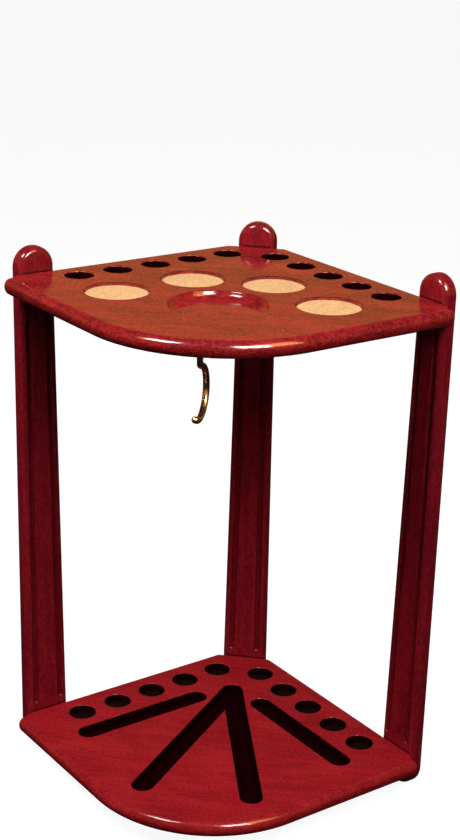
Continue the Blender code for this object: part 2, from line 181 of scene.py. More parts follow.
class Finish:
    """A material and a short way to write its node tree."""

    def __init__(self, name, **constants):
        """Constants go on the shader's own sockets, with _ for each space in a socket's name."""
        self.material = bpy.data.materials.new(name)
        self.material.use_nodes = True
        self.tree = self.material.node_tree
        self.shader = self.tree.nodes["Principled BSDF"]
        for socket, value in constants.items():
            self.shader.inputs[socket.replace("_", " ")].default_value = value
        self.place = self.node("TexCoord").outputs["Object"]

    def node(self, kind, settings=None, **inputs):
        """A new node with these settings, whose inputs are numbers or other nodes' outputs."""
        made = self.tree.nodes.new("ShaderNode" + kind)
        for key, value in (settings or {}).items():
            setattr(made, key, value)
        for key, value in inputs.items():
            self.feed(made.inputs[key.replace("_", " ")], value)
        return made

    def feed(self, socket, value):
        if isinstance(value, bpy.types.NodeSocket):
            self.tree.links.new(value, socket)
        else:
            socket.default_value = value

    def stretched(self, size, turn=(0.0, 0.0, 0.0)):
        """Coordinates whose unit is this size along each turned axis."""
        return self.node("Mapping", {"vector_type": 'TEXTURE'}, Vector=self.place, Rotation=turn,
                         Scale=size).outputs["Vector"]

    def noise(self, vector, detail=3.0, distortion=0.0):
        return self.node("TexNoise", Vector=vector, Scale=1.0, Detail=detail, Roughness=0.6,
                         Distortion=distortion).outputs["Fac"]

    def cells(self, vector, output="Distance"):
        return self.node("TexVoronoi", {"feature": 'F1'}, Vector=vector, Scale=1.0).outputs[output]

    def range(self, value, low, high, start=0.0, end=1.0):
        """Value from low..high spread over start..end."""
        return self.node("MapRange", Value=value, From_Min=low, From_Max=high, To_Min=start,
                         To_Max=end).outputs["Result"]

    def math(self, operation, *values):
        made = self.node("Math", {"operation": operation})
        for socket, value in zip(made.inputs, values):
            self.feed(socket, value)
        return made.outputs[0]

    def sum(self, first, second, share=0.5):
        """A weighted sum: share of the first and the rest of the second."""
        return self.math('MULTIPLY_ADD', second, 1 - share, self.math('MULTIPLY', first, share))

    def ramp(self, value, *stops):
        """Colour by value; each stop is (position, (r, g, b))."""
        made = self.node("ValToRGB", Fac=value)
        fill_ramp(made, stops)
        return made.outputs["Color"]

    def mix(self, share, first, second):
        made = self.node("Mix", {"data_type": 'RGBA', "blend_type": 'MIX'})
        for index, value in ((MIX_SHARE, share), (MIX_FIRST, first), (MIX_SECOND, second)):
            self.feed(made.inputs[index], value)
        return made.outputs[MIX_RESULT]

    def bump(self, height, depth, strength):
        return self.node("Bump", Height=height, Distance=depth, Strength=strength).outputs["Normal"]

    def finish(self, **sockets):
        """Feed the shader's sockets and hand over the material."""
        for name, value in sockets.items():
            self.feed(self.shader.inputs[name.replace("_", " ")], value)
        return self.material


def mahogany(name, grain, turn, stain, coat, gloss, joint_darkened=False):
    """Red-stained mahogany under lacquer. Grain is the size of a figure streak on each turned axis."""
    wood = Finish(name, Coat_Weight=coat, Coat_Roughness=gloss, Coat_IOR=1.5, IOR=1.35,
                  Specular_IOR_Level=0.06)
    streak = wood.noise(wood.stretched(grain, turn), detail=5.0, distortion=0.4)
    cloud = wood.noise(wood.stretched([0.03 + g for g in grain], turn), detail=3.0)
    fleck = wood.noise(wood.stretched([0.0022 + 0.03 * g for g in grain], turn), detail=3.0)
    figure = wood.sum(wood.sum(streak, cloud, 0.5), fleck, 0.5)
    color = wood.ramp(figure, *zip((0.42, 0.5, 0.58), stain))
    pore = wood.noise(wood.stretched([0.0005 + 0.05 * g for g in grain], turn), detail=2.0)
    pores = wood.range(pore, 0.56, 0.70)
    dark = (*[c * 0.3 for c in stain[0]], 1.0)
    color = wood.mix(wood.math('MULTIPLY', pores, 0.45), color, dark)
    # Darkens a fine line where a post's face meets the top of a shelf.
    if joint_darkened:
        color = wood.mix(dark_joint_line(wood), color, dark)
    relief = wood.sum(pores, streak, 0.7)
    peel = wood.noise(wood.stretched([0.006] * 3), detail=1.0)
    return wood.finish(
        Base_Color=color,
        Roughness=wood.range(figure, 0.35, 0.65, 0.42, 0.56),
        Normal=wood.bump(relief, -0.0002, 0.4),
        Coat_Normal=wood.bump(peel, 0.0002, 0.10),
    )


JOINT_REACH = (-0.0014, -0.0008)    # outside the shelf's edge, where a post's face is
JOINT_LINE = (0.0008, 0.0018)       # from the line's middle to where it has faded out
# How dark the fine line where a post's face meets a shelf's top gets.
JOINT_DARKENING = 0.9


def dark_joint_line(wood):
    """Strong only in the fine line where a post's face meets the top of a shelf."""
    parts = wood.node("SeparateXYZ", Vector=wood.place).outputs
    from_left = wood.math('ADD', parts["X"], HALF_BOX)
    from_back = wood.math('SUBTRACT', HALF_BOX, parts["Y"])
    diagonal = wood.math('MULTIPLY', wood.math('ADD', from_left, from_back), math.sqrt(0.5))
    from_cut = wood.math('SUBTRACT', diagonal, CORNER_CUT)
    inside = wood.math('MINIMUM', wood.math('MINIMUM', from_left, from_back), from_cut)
    touching = wood.range(inside, *JOINT_REACH)
    lines = [wood.math('ABSOLUTE', wood.math('SUBTRACT', parts["Z"], top + JOINT_LINE[0]))
             for top in (LOWER_TOP, UPPER_TOP)]
    line = wood.range(wood.math('MINIMUM', *lines), *JOINT_LINE, JOINT_DARKENING, 0.0)
    return wood.math('MULTIPLY', touching, line)


CORK_GRAIN = ((0.1, (0.55, 0.27, 0.105)), (0.9, (0.98, 0.61, 0.31)))
CORK_CLOUD = ((0.3, (0.75, 0.42, 0.195)), (0.7, (0.86, 0.51, 0.25)))
CORK_FLECK = (0.25, 0.10, 0.035, 1.0)


def make_cork():
    """Pressed cork: pale grains of different shades with dark flecks between them."""
    cork = Finish("cork_matte", Specular_IOR_Level=0.25)
    grains = cork.stretched([0.0024] * 3)
    shade = cork.cells(grains, output="Color")
    flecks = cork.range(cork.noise(cork.stretched([0.0016] * 3), detail=3.0), 0.60, 0.72)
    cloud = cork.noise(cork.stretched([0.02] * 3), detail=2.0)
    base = cork.mix(0.5, cork.ramp(cork.node("RGBToBW", Color=shade).outputs[0], *CORK_GRAIN),
                    cork.ramp(cloud, *CORK_CLOUD))
    color = cork.mix(cork.range(flecks, 0.0, 1.0, 0.0, 0.75), base, CORK_FLECK)
    height = cork.sum(cork.cells(grains), flecks, 0.6)
    return cork.finish(Base_Color=color, Roughness=cork.range(cloud, 0.3, 0.7, 0.85, 0.97),
                       Normal=cork.bump(height, -0.0003, 0.8))


# Near-black felt: the felt's own colour, darkened further as painted shade in the sockets.
FELT_STAIN_AND_SHADE = ((0.35, (0.002, 0.001, 0.001)), (0.65, (0.011, 0.005, 0.005)))
# Darker than the end grain's own stain: partly real stain, partly painted shade for deep inside holes
# and slots.
BORE_STAIN_AND_SHADE = ((0.35, (0.006, 0.0004, 0.0010)), (0.65, (0.016, 0.0010, 0.0020)))


def make_felt():
    """Black felt, matte and slightly tufted; its near-black also paints the shade deep in the cue
    sockets.
    """
    felt = Finish("felt_black", Sheen_Weight=0.02, Sheen_Roughness=0.5, Specular_IOR_Level=0.0)
    fuzz = felt.noise(felt.stretched([0.0007] * 3), detail=4.0)
    tuft = felt.noise(felt.stretched([0.004] * 3), detail=2.0)
    color = felt.ramp(felt.sum(fuzz, tuft), *FELT_STAIN_AND_SHADE)
    return felt.finish(Base_Color=color, Roughness=felt.range(tuft, 0.3, 0.7, 0.85, 1.0),
                       Normal=felt.bump(fuzz, 0.0005, 0.8))


def make_metal(name, clean, tarnish, smooth, rough):
    """Plated metal with faint tarnish and fine handling scratches."""
    metal = Finish(name, Metallic=1.0)
    cloud = metal.noise(metal.stretched([0.008] * 3), detail=4.0)
    scratch = metal.noise(metal.stretched((0.0004, 0.0004, 0.012)), detail=3.0)
    color = metal.mix(metal.range(cloud, 0.45, 0.75, 0.0, 0.7), (*clean, 1.0), (*tarnish, 1.0))
    wear = metal.range(metal.sum(cloud, scratch), 0.3, 0.7, smooth, rough)
    return metal.finish(Base_Color=color, Roughness=wear,
                        Normal=metal.bump(scratch, 0.00005, 0.25))


def make_shaded_bore():
    """Dark stained end grain inside the holes and slots, with faint cutter marks; it is darker than the
    stain alone, as painted shade deep in them, and the slots' floors take it too.
    """
    bore = Finish("mahogany_bore", Specular_IOR_Level=0.0)
    marks = bore.noise(bore.stretched((0.01, 0.01, 0.0012)), detail=3.0)
    fibre = bore.noise(bore.stretched((0.0012, 0.0012, 0.01)), detail=3.0)
    both = bore.sum(marks, fibre, 0.4)
    color = bore.ramp(both, *BORE_STAIN_AND_SHADE)
    return bore.finish(Base_Color=color, Roughness=bore.range(both, 0.3, 0.7, 0.5, 0.75),
                       Normal=bore.bump(both, 0.0002, 0.5))


ACROSS = (0.0, 0.0, DIAGONAL)
TOP_STAIN = ((0.135, 0.003, 0.006), (0.260, 0.0085, 0.0130), (0.420, 0.0200, 0.0220))
LOWER_STAIN = ((0.240, 0.005, 0.011), (0.365, 0.0100, 0.0170), (0.470, 0.0180, 0.0230))
POST_STAIN = ((0.170, 0.004, 0.011), (0.240, 0.0070, 0.0160), (0.315, 0.0110, 0.0215))
# A darker copy of the post stain for the flutes: painted shade in the grooves.
FLUTE_SHADE_STAIN = ((0.100, 0.002, 0.006), (0.145, 0.0040, 0.0095), (0.190, 0.0065, 0.0130))
SHELF_GRAIN = (0.06, 0.005, 0.005)
POST_GRAIN = (0.004, 0.004, 0.16)
UPRIGHT = (0.0, 0.0, 0.0)

TOP_WOOD = mahogany("mahogany_top", SHELF_GRAIN, ACROSS, TOP_STAIN, 1.0, 0.11)
LOWER_WOOD = mahogany("mahogany_lower", SHELF_GRAIN, ACROSS, LOWER_STAIN, 0.6, 0.12)
POST_WOOD = mahogany("mahogany_posts", POST_GRAIN, UPRIGHT, POST_STAIN, 0.8, 0.11, joint_darkened=True)
# The flutes' wood is the post wood made darker as painted shade in the grooves.
FLUTE_SHADED_WOOD = mahogany("mahogany_flutes", POST_GRAIN, UPRIGHT, FLUTE_SHADE_STAIN, 0.3, 0.25)
SHADED_BORE = make_shaded_bore()
CORK = make_cork()
FELT_AND_SHADE = make_felt()
BRASS = make_metal("brass_hook", (0.92, 0.70, 0.38), (0.62, 0.38, 0.16), 0.14, 0.30)
STEEL = make_metal("screw_zinc", (0.40, 0.38, 0.34), (0.16, 0.14, 0.12), 0.22, 0.45)


# ---------------------------------------------------------------- mesh building

SHARPEST_MITRE = 0.5
HALF_PI = math.pi / 2


def quarter(steps):
    """Angles from 0 to 90 degrees in equal steps, both ends included."""
    return [HALF_PI * i / steps for i in range(steps + 1)]


def arc(center, radius, start, end, steps):
    """Points on an arc, both ends included, with angles in radians."""
    turns = [start + (end - start) * i / steps for i in range(steps + 1)]
    return [Vector((center[0] + radius * math.cos(t), center[1] + radius * math.sin(t))) for t in turns]


def inset(outline, distances):
    """A clockwise outline moved inwards, each point by its own distance."""
    moved = []
    for i, point in enumerate(outline):
        before = (point - outline[i - 1]).normalized()
        after = (outline[(i + 1) % len(outline)] - point).normalized()
        along = (before + after).normalized()
        inward = Vector((along.y, -along.x))
        moved.append(point + inward * distances[i] / max(along.dot(after), SHARPEST_MITRE))
    return moved


def rounded_levels(thickness, near_radius, far_radius, steps):
    """(depth, inset) pairs through a board whose two edges are rounded to these radii."""
    turns = quarter(steps)
    near = [(near_radius * (1 - math.cos(t)), near_radius * (1 - math.sin(t))) for t in turns]
    far = [(thickness - far_radius * (1 - math.cos(t)), far_radius * (1 - math.sin(t)))
           for t in reversed(turns)]
    return near + [level for level in far if level[0] > near[-1][0] + WELD]


def slot_ring(start, ends, radius, height, segments):
    """A level ring round the lines from start to each end, which come counter-clockwise.

    It is a circle where the one end is the start itself.
    """
    half, square = segments // 2, HALF_PI
    headings = [math.atan2(end.y - start.y, end.x - start.x) for end in ends]
    ring = []
    for i, (end, heading) in enumerate(zip(ends, headings)):
        if i:
            middle, opening = (heading + headings[i - 1]) / 2, (heading - headings[i - 1]) / 2
            notch = Vector((math.cos(middle), math.sin(middle))) * radius / math.sin(opening)
            ring.append(start.xy + notch)
        ring += arc(end, radius, heading - square, heading + square, half)
    back = arc(start, radius, headings[-1] + square, headings[0] + 3 * square, half)
    ring += back if start != ends[-1] else back[1:-1]
    return [Vector((point.x, point.y, height)) for point in ring]


def loft(name, rings, slots=None):
    """A closed solid through rings of equal length; slots gives a material index for each band."""
    form = bmesh.new()
    rows = [[form.verts.new(point) for point in ring] for ring in rings]
    for band, (low, high) in enumerate(zip(rows, rows[1:])):
        for i, corner in enumerate(low):
            j = (i + 1) % len(low)
            face = form.faces.new((corner, low[j], high[j], high[i]))
            face.material_index = slots[band] if slots else 0
    form.faces.new(rows[0][::-1])
    form.faces.new(rows[-1])
    return closed_mesh(name, form)


def turned(name, profile, segments):
    """A solid turned about Z from (radius, height) points that start and end on the axis."""
    form = bmesh.new()
    points = [form.verts.new((radius, 0.0, height)) for radius, height in profile]
    lines = [form.edges.new(pair) for pair in zip(points, points[1:])]
    bmesh.ops.spin(form, geom=points + lines, cent=(0, 0, 0), axis=(0, 0, 1),
                   angle=math.tau, steps=segments, use_merge=True)
    bmesh.ops.remove_doubles(form, verts=form.verts, dist=WELD / 10)
    return closed_mesh(name, form)


def closed_mesh(name, form):
    """Facing out, with the bands shaded smooth and the flat ends left flat."""
    bmesh.ops.recalc_face_normals(form, faces=form.faces)
    mesh = bpy.data.meshes.new(name)
    form.to_mesh(mesh)
    form.free()
    shade(mesh, [len(face.vertices) == 4 for face in mesh.polygons])
    return mesh


def shade(mesh, smooth):
    """Smooth where asked, but never across an edge sharper than SHARP."""
    mesh.set_sharp_from_angle(angle=SHARP)
    mesh.polygons.foreach_set("use_smooth", smooth)


def add(name, mesh, finishes, place=Matrix.Identity(4)):
    """An object in the scene, with its finishes in the mesh's material slots."""
    thing = bpy.data.objects.new(name, mesh)
    thing.matrix_world = place
    bpy.context.scene.collection.objects.link(thing)
    for finish in finishes:
        mesh.materials.append(finish)
    return thing


def carve(thing, cutters):
    """Take the cutters out of a piece, then remove them and keep the result as plain, welded mesh."""
    group = bpy.data.collections.new(thing.name + "_cutters")
    for tool in cutters:
        group.objects.link(tool)
    boolean = thing.modifiers.new("carve", 'BOOLEAN')
    boolean.operation = 'DIFFERENCE'
    boolean.solver = 'EXACT'
    boolean.operand_type = 'COLLECTION'
    boolean.collection = group
    boolean.use_self = True
    boolean.material_mode = 'TRANSFER'
    seen = thing.evaluated_get(bpy.context.evaluated_depsgraph_get())
    carved = bpy.data.meshes.new_from_object(seen)
    form = bmesh.new()
    form.from_mesh(carved)
    bmesh.ops.remove_doubles(form, verts=form.verts, dist=WELD)
    form.to_mesh(carved)
    form.free()
    shade(carved, [face.use_smooth for face in carved.polygons])
    thing.modifiers.clear()
    thing.data = carved
    for tool in cutters:
        bpy.data.objects.remove(tool)
    bpy.data.collections.remove(group)
    return thing


def settle(piece, body, slot, *nodes):
    """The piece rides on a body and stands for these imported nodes."""
    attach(piece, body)
    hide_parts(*nodes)


# ---------------------------------------------------------------- shelves

def eased(depth, radius):
    """How far an edge rounded to this radius is pulled in at this depth."""
    if depth >= radius:
        return 0.0
    return radius - math.sqrt(radius ** 2 - (radius - depth) ** 2)


def shelf_outline(side, front_radius):
    """The shelf's plan, clockwise, and how round its edge is at each point (0 square, 1 full round)."""
    tip, ease = TIP_RADIUS, CUT_EASE
    cut_end = CORNER_CUT * math.sqrt(2)
    swing = math.pi / 4
    reach = ease * math.tan(swing / 2)
    back_cut = arc((cut_end + reach, -ease), ease, 3 * swing, 2 * swing, CUT_STEPS)
    shares = [i / TIP_STEPS for i in range(TIP_STEPS)]
    back_fade = [Vector((side - tip - TIP_FADE * (1 - share), 0.0)) for share in shares]
    left_fade = [Vector((0.0, -point.x)) for point in back_fade[::-1]]
    back_tip = arc((side - tip, -tip), tip, HALF_PI, 0.0, TIP_STEPS)
    front = arc((side - front_radius, front_radius - side), front_radius, 0.0, -HALF_PI, FRONT_STEPS)
    left_tip = arc((tip, tip - side), tip, -HALF_PI, -math.pi, TIP_STEPS)
    left_cut = arc((ease, -cut_end - reach), ease, 4 * swing, 3 * swing, CUT_STEPS)
    outline = back_cut + back_fade + back_tip + front + left_tip + left_fade + left_cut
    held = TIP_HELD * tip / (BOARD / 2)
    rise = [held * (0.5 - 0.5 * math.cos(math.pi * share)) for share in shares]
    rise += [held] * len(back_tip)
    square = [0.0] * len(back_cut)
    roundness = square + rise + [1.0] * len(front) + rise[::-1] + square
    return [point + CORNER.xy for point in outline], roundness


def shelf(name, side, front_radius, top, wood):
    """A board with square wall edges and a full round front edge."""
    outline, roundness = shelf_outline(side, front_radius)
    rings = []
    for depth, pulled in rounded_levels(BOARD, BOARD / 2, BOARD / 2, EDGE_STEPS):
        soft = eased(min(depth, BOARD - depth), WALL_EASE)
        distances = [share * pulled + (1 - share) * soft for share in roundness]
        rings.append([Vector((*point, top - depth)) for point in inset(outline, distances)])
    return add(name, loft(name, rings[::-1]), [wood])


def rim_levels(radius, rim):
    """(radius, depth) up a hole's wall and over its rounded rim, to just above the surface."""
    levels = [(radius + rim * (1 - math.cos(t)), rim * (1 - math.sin(t))) for t in RIM_TURNS]
    last_radius, last_depth = levels[-1]
    run_out = (last_depth + SURFACE_CLEAR) / math.tan(RIM_TURNS[1])
    return levels + [(last_radius + run_out, -SURFACE_CLEAR)]


def pocket(start, ends, radius, floor, top, finishes, segments=72, rim=RIM):
    """A cutter whose wall takes the first finish and whose rounded rim takes the second.

    It goes through the board where floor is under it.
    """
    over = [(reach, top - depth) for reach, depth in rim_levels(radius, rim)]
    rim_slots = [1] * len(RIM_TURNS)
    under_side = top - BOARD
    if floor < under_side:
        under = [(reach, under_side + depth) for reach, depth in rim_levels(radius, rim)]
        levels = under[::-1] + over
        slots = rim_slots + [0] + rim_slots
    else:
        levels = [(radius, floor)] + over
        slots = [0] + rim_slots
    rings = [slot_ring(start, ends, reach, height, segments) for reach, height in levels]
    return add("cutter", loft("cutter", rings, slots), finishes)


def cue_places():
    """Centres of the ten cue places, back wall first."""
    return [at(d, CUE_OFFSET) for d in CUE_DISTANCES] + [at(CUE_OFFSET, d) for d in CUE_DISTANCES]


def rest_places():
    """Centres of the four drink rests; the second pair mirrors the first."""
    return [at(a, b) for a, b in REST_PLACES] + [at(b, a) for a, b in REST_PLACES]


def dish_cutter():
    """A flat floor that coves up to a softly rounded rim."""
    steep = math.acos(1 - DISH_DEPTH / DISH_COVE)
    floor_radius = DISH_RADIUS - DISH_COVE * math.sin(steep)
    cove = [(floor_radius + DISH_COVE * math.sin(t), DISH_COVE * (1 - math.cos(t)) - DISH_DEPTH)
            for t in DISH_COVE_TURNS]
    first = Vector(cove[-1])
    middle = Vector((first.x + DISH_LIP_BEND[0], DISH_LIP_BEND[1]))
    last = Vector((first.x + DISH_LIP_END[0], DISH_LIP_END[1]))
    lip = [first * (1 - t) ** 2 + middle * 2 * t * (1 - t) + last * t ** 2
           for t in (0.2, 0.4, 0.6, 0.8, 1.0)]
    profile = [(0.0, -DISH_DEPTH)] + cove + [tuple(point) for point in lip] + [(0.0, last.y)]
    mesh = turned("cutter", profile, 128)
    return add("cutter", mesh, [TOP_WOOD], Matrix.Translation(at(DISH_PLACE, DISH_PLACE, UPPER_TOP)))


def make_shelves(posts):
    upper = shelf("shelf_top", TOP_SIDE, TOP_FRONT_RADIUS, UPPER_TOP, TOP_WOOD)
    lower = shelf("shelf_lower", LOWER_SIDE, LOWER_FRONT_RADIUS, LOWER_TOP, LOWER_WOOD)
    below = UPPER_UNDER - BOARD
    # The cue holes' walls take the dark bore finish: partly end-grain stain, partly painted shade.
    cuts = [pocket(p, [p], CUE_RADIUS, below, UPPER_TOP, [SHADED_BORE, TOP_WOOD]) for p in cue_places()]
    recess = UPPER_TOP - REST_DEPTH
    cuts += [pocket(p, [p], REST_RADIUS, recess, UPPER_TOP, [TOP_WOOD], 120, REST_RIM)
             for p in rest_places()]
    cuts += [dish_cutter(), hook_bore()]
    cuts += [pilot for post in posts for pilot in post.pilots(UPPER_MIDDLE)]
    carve(upper, cuts)
    # Sockets and slots take the dark bore finish on walls and floors: partly end-grain stain, partly
    # painted shade.
    finishes = [SHADED_BORE, LOWER_WOOD]
    floor = LOWER_TOP - SOCKET_DEPTH
    cuts = [pocket(p, [p], CUE_RADIUS, floor, LOWER_TOP, finishes) for p in cue_places()]
    cuts += ball_slots(finishes)
    cuts += [foot_screw_hole()]
    cuts += [pilot for post in posts for pilot in post.pilots(LOWER_MIDDLE)]
    carve(lower, cuts)
    settle(upper, "rack", "mahogany_lacquer", "top_shelf")
    settle(lower, "rack", "mahogany_lacquer", "lower_shelf")


def ball_slots(finishes):
    """One slot beside each wall, and the V as one cutter, so that its arms' floors don't overlap."""
    near, far = WALL_SLOT_ENDS
    apex = at(VEE_APEX, VEE_APEX)
    runs = [(at(near, WALL_SLOT_OFFSET), [at(far, WALL_SLOT_OFFSET)]),
            (at(WALL_SLOT_OFFSET, near), [at(WALL_SLOT_OFFSET, far)]),
            (apex, [at(*VEE_END[::-1]), at(*VEE_END)])]
    floor = LOWER_TOP - SLOT_DEPTH
    return [pocket(start, ends, SLOT_RADIUS, floor, LOWER_TOP, finishes) for start, ends in runs]


# ---------------------------------------------------------------- posts

class Post:
    """A flat board in its own frame: width along X, front face at Y = 0, back at Y = thickness.

    lean moves the top sideways, so that a side post's outer edge stands plumb.
    """

    def __init__(self, name, place, turn, lean):
        self.name = name
        self.place = Matrix.Translation(place) @ Matrix.Rotation(turn, 4, 'Z')
        foot, tab = POST_FOOT_WIDTH / 2, POST_TOP_WIDTH / 2
        self.flat_turn = math.asin(FOOT_FLAT / 2 / foot)
        self.foot_center = Vector((0.0, foot * math.cos(self.flat_turn)))
        self.tab_center = Vector((lean * (foot - tab), POST_HEIGHT - tab))
        axis = self.tab_center - self.foot_center
        self.axis_angle = math.atan2(axis.y, axis.x)
        self.side_turn = math.acos((foot - tab) / axis.length)

    def outline(self):
        """Two round lobes and the straight edges that touch both, clockwise, with a flat foot."""
        left, right = self.axis_angle + self.side_turn, self.axis_angle - self.side_turn
        down, foot = -HALF_PI, POST_FOOT_WIDTH / 2
        points = arc(self.tab_center, POST_TOP_WIDTH / 2, left, right, 48)
        points += arc(self.foot_center, foot, right, down + self.flat_turn, 20)
        points += arc(self.foot_center, foot, down - self.flat_turn, left - math.tau, 20)
        return points

    def edge_x(self, side, height):
        """Where the straight edge is at this height; side is -1 for left and +1 for right."""
        turn = self.axis_angle - side * self.side_turn
        low = self.foot_center + Vector((math.cos(turn), math.sin(turn))) * POST_FOOT_WIDTH / 2
        high = self.tab_center + Vector((math.cos(turn), math.sin(turn))) * POST_TOP_WIDTH / 2
        share = (height - low.y) / (high.y - low.y)
        return low.x + (high.x - low.x) * share

    def middle_x(self, height):
        """Halfway between the two straight edges."""
        return (self.edge_x(-1, height) + self.edge_x(1, height)) / 2

    def build(self):
        outline = self.outline()
        rings = []
        for depth, pulled in rounded_levels(POST_THICKNESS, POST_EDGE, POST_BACK_EDGE, POST_EDGE_STEPS):
            ring = inset(outline, [pulled] * len(outline))
            rings.append([Vector((point.x, depth, point.y)) for point in ring])
        name = self.name + "_wood"
        solid = add(name, loft(name, rings), [POST_WOOD], self.place)
        cuts = [self.flute(side) for side in (-1, 1)]
        for height in (UPPER_MIDDLE, LOWER_MIDDLE):
            cuts += [self.screw_hole(place) for place in self.screw_places(height)]
        carve(solid, cuts)
        solid.data.transform(self.place)
        solid.matrix_world = Matrix.Identity(4)
        settle(solid, "rack", "mahogany_post", self.name)

    def flute(self, side):
        """A round-ended rod along one edge, most of it in front of the face."""
        low = LOWER_TOP + FLUTE_STOP + FLUTE_RADIUS
        high = UPPER_UNDER - FLUTE_STOP - FLUTE_RADIUS
        swells = [(FLUTE_RADIUS * math.sin(t), FLUTE_RADIUS * math.cos(t)) for t in FLUTE_END_TURNS]
        ends = [(low + rise, radius) for rise, radius in swells]
        ends += [(high - rise, radius) for rise, radius in swells[::-1]]
        rings = []
        for height, radius in ends:
            center = (self.edge_x(side, height) - side * FLUTE_INSET, FLUTE_DEPTH - FLUTE_RADIUS)
            circle = arc(center, radius, 0.0, math.tau, 48)[:-1]
            rings.append([Vector((point.x, point.y, height)) for point in circle])
        # The flute's own surfaces take the darker flute wood, as painted shade in the groove.
        return add("cutter", loft("cutter", rings), [FLUTE_SHADED_WOOD], self.place)

    def screw_places(self, height):
        """The two screws into a shelf at this height, each with its head at the back face."""
        upright_to_back = Matrix.Rotation(-HALF_PI, 4, 'X')
        back = POST_THICKNESS - SCREW_SUNK
        spots = [self.middle_x(height) + side * SCREW_SPREAD for side in (-1, 1)]
        return [self.place @ Matrix.Translation((x, back, height)) @ upright_to_back for x in spots]

    def screw_hole(self, place):
        """A countersink and a clearance hole, right through the post."""
        head, shank = SCREW_HEAD + FIT, SCREW_SHANK + FIT
        clear = 2 * SCREW_SUNK
        profile = [(0.0, clear), (head + clear, clear), (shank, shank - head),
                   (shank, SCREW_HOLE_END), (0.0, SCREW_HOLE_END)]
        return add("cutter", turned("cutter", profile, 40), [SHADED_BORE], place)

    def pilots(self, height):
        """Plain holes for the screws in the edge of a shelf."""
        reach, end = SCREW_SHANK + FIT, -SCREW_LENGTH - BORE_CLEAR
        profile = [(0.0, PILOT_START), (reach, PILOT_START), (reach, end), (0.0, end)]
        return [add("cutter", turned("cutter", profile, 16), [SHADED_BORE], place)
                for place in self.screw_places(height)]


def make_posts():
    """The left and right posts stand flat on the walls; the corner post faces the room."""
    side_center = POST_OUTER - POST_FOOT_WIDTH / 2
    corner_inset = (CORNER_CUT - GAP) / math.sqrt(2)
    posts = [
        Post("left_post", at(-GAP, side_center), HALF_PI, -1),
        Post("right_post", at(side_center, -GAP), 0.0, 1),
        Post("corner_post", at(corner_inset, corner_inset), DIAGONAL, 0),
    ]
    for post in posts:
        post.build()
    return posts


# ---------------------------------------------------------------- hardware

def screw_mesh():
    """A countersunk screw with a tapered cross recess."""
    head, shank, tip = SCREW_HEAD, SCREW_SHANK, -SCREW_LENGTH
    profile = [(0.0, 0.0), (head - 0.0004, 0.0), (head - 0.0001, -0.0001), (head, -0.0004),
               (shank, shank - head), (shank, tip + SCREW_POINT), (SCREW_TIP, tip), (0.0, tip)]
    blank = add("screw", turned("screw", profile, 40), [STEEL])
    rings = []
    for height, reach, half in RECESS:
        arm = [Vector((-half, reach)), Vector((half, reach)), Vector((half, half))]
        plus = [Matrix.Rotation(-HALF_PI * turn, 2) @ point for turn in range(4) for point in arm]
        rings.append([Vector((*point, height)) for point in plus])
    carve(blank, [add("cutter", loft("cutter", rings), [STEEL])])
    mesh = blank.data
    bpy.data.objects.remove(blank)
    return mesh


def drive_screws(posts):
    """Two screws through each post into each shelf, each stopped at its own angle."""
    mesh = screw_mesh()
    for post in posts:
        for level, height, twist in (("upper", UPPER_MIDDLE, 0.9), ("lower", LOWER_MIDDLE, 0.0)):
            for i, place in enumerate(post.screw_places(height), 1):
                node = f"{post.name}_{level}_screw_{i}"
                spin = Matrix.Rotation(0.7 * i + 0.4 * len(post.name) + twist, 4, 'Z')
                settle(add(node + "_zinc", mesh, [], place @ spin), "rack", "screw_steel", node)
    last = add("foot_screw_zinc", mesh, [], foot_screw_place())
    settle(last, "rack", "screw_steel", "front_foot_screw")


def foot_screw_place():
    """The head's place and direction: up inside the front foot, pointing at the shelf."""
    up = at(FRONT_FOOT_PLACE, FRONT_FOOT_PLACE, FRONT_FOOT_SCREW)
    return Matrix.Translation(up) @ Matrix.Rotation(math.pi, 4, 'X')


def foot_screw_hole():
    """Counterbore for the head, then clearance for the shank."""
    wide, head, shank = SCREW_HEAD + COUNTERBORE_CLEAR, SCREW_HEAD + FIT, SCREW_SHANK + FIT
    mouth, end = FRONT_FOOT_SCREW + BORE_CLEAR, -SCREW_LENGTH - BORE_CLEAR
    profile = [(0.0, mouth), (wide, mouth), (wide, 0.0), (head, 0.0), (shank, shank - head),
               (shank, end), (0.0, end)]
    return add("cutter", turned("cutter", profile, 48), [SHADED_BORE], foot_screw_place())


def make_front_foot():
    """A turned foot with a rounded lower edge."""
    wide, height = FRONT_FOOT_RADIUS, LOWER_UNDER - GAP
    run, climb = FRONT_FOOT_LOW_EDGE
    edge = FRONT_FOOT_TOP_EDGE
    low = [(wide - run + run * math.sin(t), climb * (1 - math.cos(t))) for t in quarter(10)]
    high = [(wide - edge * (1 - math.cos(t)), height - edge * (1 - math.sin(t))) for t in quarter(6)]
    profile = [(0.0, 0.0)] + low + high + [(0.0, height)]
    place = Matrix.Translation(at(FRONT_FOOT_PLACE, FRONT_FOOT_PLACE))
    foot = add("front_foot_wood", turned("front_foot", profile, 72), [POST_WOOD], place)
    carve(foot, [foot_screw_hole()])
    settle(foot, "rack", "mahogany_post", "front_foot")


def bend(path, heading, radius, turn, steps):
    """Carry an (x, z) path on round an arc, leftwards if turn is positive; returns the heading."""
    side = math.copysign(1.0, turn)
    for _ in range(steps):
        step = abs(turn) / steps
        chord = 2 * radius * math.sin(step / 2)
        mid = heading + side * step / 2
        path.append(path[-1] + Vector((math.cos(mid), math.sin(mid))) * chord)
        heading += side * step
    return heading


